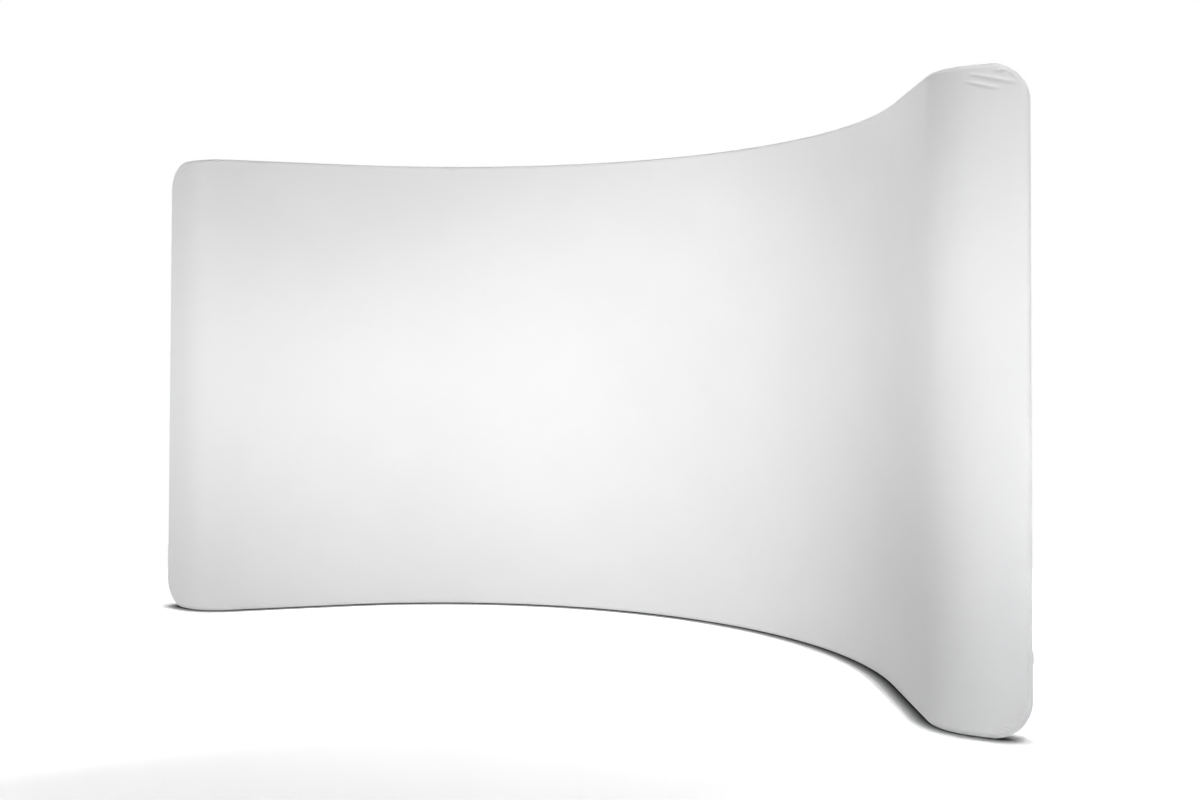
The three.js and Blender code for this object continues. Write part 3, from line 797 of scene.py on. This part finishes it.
# Sets a small arched bar at even steps along the guide. "Across" turns the bar across the line.
def barRowTree(name, across):
    sizes = ("Pitch", "Bar Length", "Bar Rise", "Bar Sink", "Thickness", "Slant")
    inputs = [("Geometry", "Geometry", None)] + [(label, "Float", None) for label in sizes]
    tree, given, out = nodeGroup(
        name, "GeometryNodeTree", inputs + [("Material", "Material", None)],
        [("Geometry", "Geometry")])
    link = tree.links.new

    line = addNode(tree, "GeometryNodeMeshToCurve")
    link(given.outputs["Geometry"], line.inputs["Mesh"])
    stepped = addNode(tree, "GeometryNodeResampleCurve")
    stepped.mode = "LENGTH"
    link(line.outputs[0], stepped.inputs["Curve"])
    link(given.outputs["Pitch"], stepped.inputs["Length"])

    half = mathNode(tree, "MULTIPLY", given.outputs["Bar Length"], 0.5)
    back = mathNode(tree, "MULTIPLY", half, -1.0)
    sunk = mathNode(tree, "MULTIPLY", given.outputs["Bar Sink"], -1.0)
    slantBack = mathNode(tree, "MULTIPLY", given.outputs["Slant"], -1.0)
    ends = []
    for reach, slant in ((back, slantBack), (half, given.outputs["Slant"])):
        place = addNode(tree, "ShaderNodeCombineXYZ")
        link(reach, place.inputs["X" if across else "Y"])
        link(slant, place.inputs["Y" if across else "X"])
        link(sunk, place.inputs["Z"])
        ends.append(place.outputs[0])
    crest = addNode(tree, "ShaderNodeCombineXYZ")
    link(given.outputs["Bar Rise"], crest.inputs["Z"])
    arch = addNode(tree, "GeometryNodeCurveQuadraticBezier")
    arch.inputs["Resolution"].default_value = 4
    link(ends[0], arch.inputs["Start"])
    link(crest.outputs[0], arch.inputs["Middle"])
    link(ends[1], arch.inputs["End"])
    section = addNode(tree, "GeometryNodeCurvePrimitiveCircle")
    section.inputs["Resolution"].default_value = 5
    link(given.outputs["Thickness"], section.inputs["Radius"])
    bar = addNode(tree, "GeometryNodeCurveToMesh")
    bar.inputs["Fill Caps"].default_value = True
    link(arch.outputs[0], bar.inputs["Curve"])
    link(section.outputs[0], bar.inputs["Profile Curve"])
    smooth = addNode(tree, "GeometryNodeSetShadeSmooth")
    link(bar.outputs[0], smooth.inputs[0])

    outward = addNode(tree, "GeometryNodeInputNamedAttribute", data_type="FLOAT_VECTOR")
    outward.inputs["Name"].default_value = "outward"
    upright = addNode(tree, "FunctionNodeAlignRotationToVector", axis="Z")
    link(outward.outputs["Attribute"], upright.inputs["Vector"])
    heading = addNode(tree, "GeometryNodeInputTangent")
    turned = addNode(tree, "FunctionNodeAlignRotationToVector", axis="Y", pivot_axis="Z")
    link(upright.outputs["Rotation"], turned.inputs["Rotation"])
    link(heading.outputs[0], turned.inputs["Vector"])

    placed = addNode(tree, "GeometryNodeInstanceOnPoints")
    link(stepped.outputs[0], placed.inputs["Points"])
    link(smooth.outputs[0], placed.inputs["Instance"])
    link(turned.outputs["Rotation"], placed.inputs["Rotation"])
    real = addNode(tree, "GeometryNodeRealizeInstances")
    link(placed.outputs[0], real.inputs[0])
    dressed = addNode(tree, "GeometryNodeSetMaterial")
    link(real.outputs[0], dressed.inputs["Geometry"])
    link(given.outputs["Material"], dressed.inputs["Material"])
    link(dressed.outputs[0], out.inputs[0])
    return tree


# A row of bars at an angle and radius round the tube, up to a height at both ends.
def barRow(tree, name, angle, radius, top, values):
    line = zipStations(0.01, 40, top)
    guide = guideLine(name + "Guide", *aroundTube(line, angle, radius))
    modifier = guide.modifiers.new(name, "NODES")
    modifier.node_group = tree
    for socket in tree.interface.items_tree:
        if socket.in_out == "INPUT" and socket.name in values:
            modifier[socket.identifier] = values[socket.name]
    mesh = evaluatedMesh(guide)
    mesh.name = name
    return placeObject(name, mesh)


teethShape = {
    "Pitch": 0.002, "Bar Length": 0.0048, "Bar Rise": 0.0011, "Bar Sink": 0.0004,
    "Thickness": 0.00055, "Slant": 0.0002, "Material": coilLook,
}
stitchShape = {
    "Pitch": 0.0036, "Bar Length": 0.0029, "Bar Rise": 0.0007, "Bar Sink": 0.0003,
    "Thickness": 0.00028, "Slant": 0.0, "Material": threadLook,
}
stitchRows = {
    # angle, radius, height where the row ends
    "hemStitchesFront": (math.radians(38), 0.0186, 0.285),
    "zipStitchesFront": (math.radians(105), 0.0178, 0.292),
    "zipStitchesBack": (math.radians(163), 0.0178, 0.292),
}
teethTree = barRowTree("zipTeethRow", across=True)
stitchTree = barRowTree("stitchRow", across=False)
zipTeeth = barRow(
    teethTree, "zipTeeth", zipShape["teethAngle"], zipShape["teethRadius"],
    zipShape["top"] - 0.004, teethShape)
stitches = [barRow(stitchTree, name, *row, stitchShape) for name, row in stitchRows.items()]
print("zip and stitches made:", len(zipTeeth.data.polygons), "faces of teeth")


# The slider and its pull.
sliderShape = {
    "length": 0.014, "width": 0.010, "base": 0.0186, "face": 0.0213, "channelWidth": 0.0056,
    "channelHeight": 0.0007, "archReach": 0.005, "archHeight": 0.0037, "archBar": 0.0011,
    "archWidth": 0.0022, "edge": 0.0004,
    "pullLength": 0.034, "pullNeck": 0.0034, "pullTip": 0.0046, "pullThickness": 0.0015,
    "pullEye": (0.0034, 0.00745), "hangRadius": 0.0018,
    "pullRise": 0.0014,  # the pull's middle above the slider's face
    "ribCount": 5, "ribStart": 0.0058, "ribPitch": 0.0021, "ribRise": 0.0003,
    "ribHalf": (0.0026, 0.0004),
}


# The slider's own axes: X across the zip, Y up the post, Z away from the post's axis.
def sliderFrame():
    low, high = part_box("zip_slider")
    point, tangent, back = walkPlan(np.array([halfLength]))
    angle = zipShape["teethAngle"]
    out = Vector(-back[0] * math.cos(angle) + tangent[0] * math.sin(angle))
    up = Vector((0, 0, 1))
    across = up.cross(out)
    centre = Vector((point[0][0], point[0][1], (low.z + high.z) / 2))
    return Matrix((
        (across.x, up.x, out.x, centre.x),
        (across.y, up.y, out.y, centre.y),
        (across.z, up.z, out.z, centre.z),
        (0, 0, 0, 1),
    ))


# A plate cut from an outline with holes, from one level to another, with bevelled edges.
def cutPlate(name, outline, holes, low, high, bevel):
    curve = bpy.data.curves.new(name + "Outline", "CURVE")
    curve.dimensions = "2D"
    curve.fill_mode = "BOTH"
    for loop in [outline] + holes:
        spline = curve.splines.new("POLY")
        spline.points.add(len(loop) - 1)
        for point, (x, y) in zip(spline.points, loop):
            point.co = (x, y, 0, 1)
        spline.use_cyclic_u = True
    curve.extrude = (high - low) / 2 - bevel
    curve.bevel_depth = bevel
    curve.bevel_resolution = 1
    curve.offset = -bevel
    mesh = evaluatedMesh(placeObject(name, curve))
    mesh.transform(Matrix.Translation((0, 0, (low + high) / 2)))
    return mesh


def arcPoints(cx, cy, radius, start, end, count):
    angles = np.linspace(start, end, count)
    return [(cx + radius * math.cos(a), cy + radius * math.sin(a)) for a in angles]


def joined(name, meshes, place, material):
    work = bmesh.new()
    for mesh in meshes:
        work.from_mesh(mesh)
    bmesh.ops.remove_doubles(work, verts=work.verts, dist=1e-6)
    bmesh.ops.recalc_face_normals(work, faces=work.faces)
    work.transform(place)
    mesh = bpy.data.meshes.new(name)
    work.to_mesh(mesh)
    work.free()
    mesh.shade_smooth()
    mesh.set_sharp_from_angle(angle=math.radians(40))
    mesh.materials.append(material)
    return placeObject(name, mesh)


def makeSlider(place):
    s = sliderShape
    half = s["width"] / 2
    foot, waist, shoulder = half * 0.7, s["length"] * 0.1, s["length"] * 0.36
    crown = [(half * math.cos(a), shoulder + (s["length"] / 2 - shoulder) * math.sin(a))
             for a in np.linspace(0, math.pi, 13)]
    outline = [(-foot, -s["length"] / 2), (foot, -s["length"] / 2), (half, waist)]
    outline += crown + [(-half, waist)]
    roof = s["base"] + s["channelHeight"]
    top = cutPlate("sliderTop", outline, [], roof, s["face"], s["edge"])
    lip = (half - s["channelWidth"] / 2) * 0.5
    rails = []
    for hand in (-1, 1):
        inner, outer = hand * s["channelWidth"] / 2, hand * (s["channelWidth"] / 2 + lip)
        loop = [(inner, -s["length"] / 2 + 0.001), (outer, -s["length"] / 2 + 0.001),
                (outer, shoulder), (inner, shoulder)]
        if hand < 0:
            loop.reverse()
        rails.append(cutPlate("sliderRail", loop, [], s["base"], roof + 0.0002, 0.0001))
    return joined("zipSliderMetal", [top] + rails + [archMesh()], place, zipMetalLook)


# The arch is drawn in its own plane and stood along the slider.
def archMesh():
    s = sliderShape
    reach, tall, bar = s["archReach"], s["archHeight"], s["archBar"]
    crown = arcPoints(reach - 0.0016, tall - 0.0012, 0.0012, 0, math.pi / 2, 5)
    outline = [(-reach, -0.0005), (reach, -0.0005)] + crown + [(-x, y) for x, y in reversed(crown)]
    eyeHalf, eyeTop = reach / 2, tall - bar
    hole = [(-eyeHalf, 0.0001), (-eyeHalf, eyeTop), (eyeHalf, eyeTop), (eyeHalf, 0.0001)]
    mesh = cutPlate("sliderArch", outline, [hole], -s["archWidth"] / 2, s["archWidth"] / 2, 0.0003)
    mesh.transform(Matrix(((0, 0, 1, 0), (1, 0, 0, 0), (0, 1, 0, s["face"]), (0, 0, 0, 1))))
    return mesh


def makePull(place):
    s = sliderShape
    axis = s["face"] + s["pullRise"]
    tipCentre = -s["pullLength"] + s["pullTip"]
    shoulderTop = s["pullThickness"] / 2
    outline = [(s["pullNeck"], shoulderTop), (-s["pullNeck"], shoulderTop)]
    outline += arcPoints(0, tipCentre, s["pullTip"], math.pi, 2 * math.pi, 21)
    eyeHalf, eyeLength = s["pullEye"][0] / 2, s["pullEye"][1]
    eye = [(-eyeHalf, -shoulderTop), (eyeHalf, -shoulderTop),
           (eyeHalf, -shoulderTop - eyeLength), (-eyeHalf, -shoulderTop - eyeLength)]
    hang = arcPoints(0, tipCentre, s["hangRadius"], 0, 2 * math.pi, 21)[:-1]
    low, high = axis - s["pullThickness"] / 2, axis + s["pullThickness"] / 2
    plate = cutPlate("pullPlate", outline, [eye, hang], low, high, 0.0003)
    ribs = []
    wide, thin = s["ribHalf"]
    for k in range(s["ribCount"]):
        level = tipCentre + s["ribStart"] + s["ribPitch"] * k
        loop = [(-wide, level - thin), (wide, level - thin),
                (wide, level + thin), (-wide, level + thin)]
        ribs.append(cutPlate(
            "pullRib", loop, [], high - s["ribRise"], high + s["ribRise"], s["ribRise"] / 2))
    return joined("zipPullTab", [plate] + ribs, place, zipMetalLook)


sliderPlace = sliderFrame()
zipSliderMetal = makeSlider(sliderPlace)
zipPullTab = makePull(sliderPlace)
print("slider and pull made")


# What each piece rides on and stands for.
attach(sleeveFront, "frame")
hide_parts("sleeve_front")
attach(sleeveBack, "frame")
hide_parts("sleeve_back")
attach(zipTapeFront, "frame")
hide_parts("zip_tape_front")
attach(zipTapeBack, "frame")
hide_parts("zip_tape_back")
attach(zipTeeth, "frame")
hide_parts("zip_coil")
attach(zipSliderMetal, "slider")
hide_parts("zip_slider")
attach(zipPullTab, "pull")
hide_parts("zip_pull")
for row in stitches:
    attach(row, "frame")

for name, node in cadNodes.items():
    if node.hide_render:
        continue
    node.data.materials.clear()
    node.data.materials.append(buttonLook if name.startswith("snap_button") else tubeLook)


# Floor, light and camera.
stageLook = {
    "floorColour": 0.8,
    "floorReach": 60,
    "floorSeen": 2.4,  # colour of the seen floor; above 1 it burns out all but deep shadow
    "shadowReach": (2.4, 3.6),  # distances between which the seen floor turns plain white
    "contactReach": 0.09,  # how far the painted contact shadow spreads from the wall's foot
    "contactDepth": 5.0,  # power that deepens it
    "contactSamples": 12,
    "worldLight": 0.12,
}
softBoxes = {
    # place, aim, width, height, power in watts, spread in degrees
    "frontLeft": ((-3.447, -2.893, 1.2), (0.0, 0.1, 1.125), 1.6, 1.6, 24.3, 180),
    "frontRight": ((3.447, -2.893, 1.2), (0.0, 0.1, 1.125), 1.6, 1.6, 10.6, 180),
    "overhead": ((0.0, -1.2, 4.6), (0.0, 0.0, 0.0), 3.0, 2.4, 24.0, 180),
    "highLeft": ((-2.6, -3.4, 3.6), (-0.8, 0.0, 1.2), 1.6, 1.2, 15.7, 180),
    "gridRight": ((0.2, -3.0, 1.25), (1.9, -0.35, 1.4), 0.8, 0.8, 1.1, 45),
    "gridLeft": ((0.5, -3.0, 1.25), (-1.9, 0.0, 1.2), 0.8, 0.8, 5.9, 60),
    "gridReturn": ((3.2, -4.2, 1.4), (2.1, -0.55, 1.35), 0.6, 0.6, 2.6, 40),
    "gridHigh": ((-0.5, -3.2, 2.3), (0.0, 0.6, 1.9), 0.8, 0.8, 5.7, 60),
    "gridLow": ((-0.5, -3.2, 0.5), (-0.3, 0.6, 0.5), 0.8, 0.8, 4.9, 60),
    "steepFoot": ((3.1, -2.0, 2.6), (2.15, -0.62, 0.15), 0.5, 0.5, 0.8, 30),
    "steepTop": ((2.8, -1.5, 4.0), (2.2, -0.6, 2.1), 0.5, 0.5, 0.7, 30),
    "sideRight": ((5.6, -1.2, 1.6), (2.2, -0.6, 1.1), 1.0, 1.6, 4.5, 60),
    "backLeft": ((-3.4, 3.6, 3.0), (-0.6, 0.6, 0.6), 2.0, 2.0, 90.0, 180),
    "backRight": ((3.4, 3.6, 3.0), (0.6, 0.6, 0.6), 2.0, 2.0, 90.0, 180),
}


def mixedShaders(tree, share, first, second):
    mix = addNode(tree, "ShaderNodeMixShader")
    for socket, source in zip(mix.inputs, (share, first, second)):
        tree.links.new(source, socket)
    return mix.outputs[0]


# Camera, glossy and transmission rays meet the seen shader, all others the lit one.
def seenApart(tree, lit, seen, outputKind):
    rays = addNode(tree, "ShaderNodeLightPath").outputs
    watched = mathNode(tree, "MAXIMUM", rays["Is Camera Ray"], rays["Is Glossy Ray"])
    watched = mathNode(tree, "MAXIMUM", watched, rays["Is Transmission Ray"])
    out = addNode(tree, outputKind)
    tree.links.new(mixedShaders(tree, watched, lit, seen), out.inputs["Surface"])


def makeFloor():
    mesh = bpy.data.meshes.new("studioFloor")
    reach = stageLook["floorReach"]
    corners = [(-reach, -reach, 0), (reach, -reach, 0), (reach, reach, 0), (-reach, reach, 0)]
    mesh.from_pydata(corners, [], [(0, 1, 2, 3)])
    floor = placeObject("studioFloor", mesh)
    material = bpy.data.materials.new("paleFloor")
    material.use_nodes = True
    tree = material.node_tree
    tree.nodes.clear()
    plain = addNode(tree, "ShaderNodeBsdfDiffuse")
    plain.inputs["Color"].default_value = (*[stageLook["floorColour"]] * 3, 1)
    # Ambient occlusion darkens the seen floor's colour near the wall: a painted contact shadow, on
    # top of the lamps' real shadows.
    contact = addNode(tree, "ShaderNodeAmbientOcclusion", samples=stageLook["contactSamples"])
    contact.inputs["Distance"].default_value = stageLook["contactReach"]
    paintedContactShade = mathNode(tree, "POWER", contact.outputs["AO"], stageLook["contactDepth"])
    seenValue = mathNode(tree, "MULTIPLY", paintedContactShade, stageLook["floorSeen"])
    seen = addNode(tree, "ShaderNodeBsdfDiffuse")
    tree.links.new(seenValue, seen.inputs["Color"])
    white = addNode(tree, "ShaderNodeEmission")
    white.inputs["Strength"].default_value = 1.0
    away = addNode(tree, "ShaderNodeVectorMath", operation="LENGTH")
    tree.links.new(objectVector(tree), away.inputs[0])
    fade = addNode(tree, "ShaderNodeMapRange", interpolation_type="SMOOTHSTEP")
    setInputs(fade, From_Min=stageLook["shadowReach"][0], From_Max=stageLook["shadowReach"][1])
    tree.links.new(away.outputs["Value"], fade.inputs["Value"])
    both = mixedShaders(tree, fade.outputs["Result"], seen.outputs[0], white.outputs[0])
    seenApart(tree, plain.outputs[0], both, "ShaderNodeOutputMaterial")
    mesh.materials.append(material)
    return floor


def makeWorld():
    world = bpy.data.worlds.new("paleStudio")
    bpy.context.scene.world = world
    world.use_nodes = True
    tree = world.node_tree
    tree.nodes.clear()
    ambient = addNode(tree, "ShaderNodeBackground")
    ambient.inputs["Strength"].default_value = stageLook["worldLight"]
    white = addNode(tree, "ShaderNodeBackground")
    for backdrop in (ambient, white):
        backdrop.inputs["Color"].default_value = (1, 1, 1, 1)
    seenApart(tree, ambient.outputs[0], white.outputs[0], "ShaderNodeOutputWorld")


def makeSoftBox(name, place, aim, width, height, power, spread):
    light = bpy.data.lights.new(name, "AREA")
    light.shape = "RECTANGLE"
    light.size = width
    light.size_y = height
    light.energy = power
    light.spread = math.radians(spread)
    lamp = placeObject(name, light)
    lamp.visible_camera = False
    lamp.location = place
    lamp.rotation_mode = "QUATERNION"
    lamp.rotation_quaternion = (Vector(aim) - Vector(place)).to_track_quat("-Z", "Y")


# The camera stands right of the wall's middle, at eye height, and looks to its left.
cameraPlan = {
    "place": (3.8766, -4.0926, 1.2482),  # measured from the arc's centre
    "yaw": -0.6367,
    "pitch": 0.0227,
    "roll": 0.0032,
    "focal": 1448.81,  # in pixels of the 1200 x 800 picture
    "centre": (581.63, 327.68),
    "picture": (1200, 800),
    "sensor": 36.0,
    "farthest": 200,
}


def makeCamera():
    plan = cameraPlan
    yaw, pitch, roll = plan["yaw"], plan["pitch"], plan["roll"]
    level = math.cos(pitch)
    ahead = Vector((math.sin(yaw) * level, math.cos(yaw) * level, math.sin(pitch)))
    right = Vector((math.cos(yaw), -math.sin(yaw), 0))
    up = right.cross(ahead)
    rightTurned = right * math.cos(roll) + up * math.sin(roll)
    upTurned = up * math.cos(roll) - right * math.sin(roll)
    data = bpy.data.cameras.new("studioCamera")
    camera = placeObject("studioCamera", data)
    x, y, z = plan["place"]
    shift = middleDepth - wallPlan["arcRadius"]
    camera.matrix_world = Matrix((
        (rightTurned.x, upTurned.x, -ahead.x, x),
        (rightTurned.y, upTurned.y, -ahead.y, y + shift),
        (rightTurned.z, upTurned.z, -ahead.z, z),
        (0, 0, 0, 1),
    ))
    wide, tall = plan["picture"]
    data.sensor_width = plan["sensor"]
    data.lens = plan["focal"] / wide * plan["sensor"]
    data.shift_x = (wide / 2 - plan["centre"][0]) / wide
    data.shift_y = (plan["centre"][1] - tall / 2) / wide
    data.clip_end = plan["farthest"]
    bpy.context.scene.camera = camera


makeFloor()
makeWorld()
for name, settings in softBoxes.items():
    makeSoftBox(name, *settings)
makeCamera()
bpy.context.scene.view_settings.view_transform = "Standard"
print("stage and camera set")
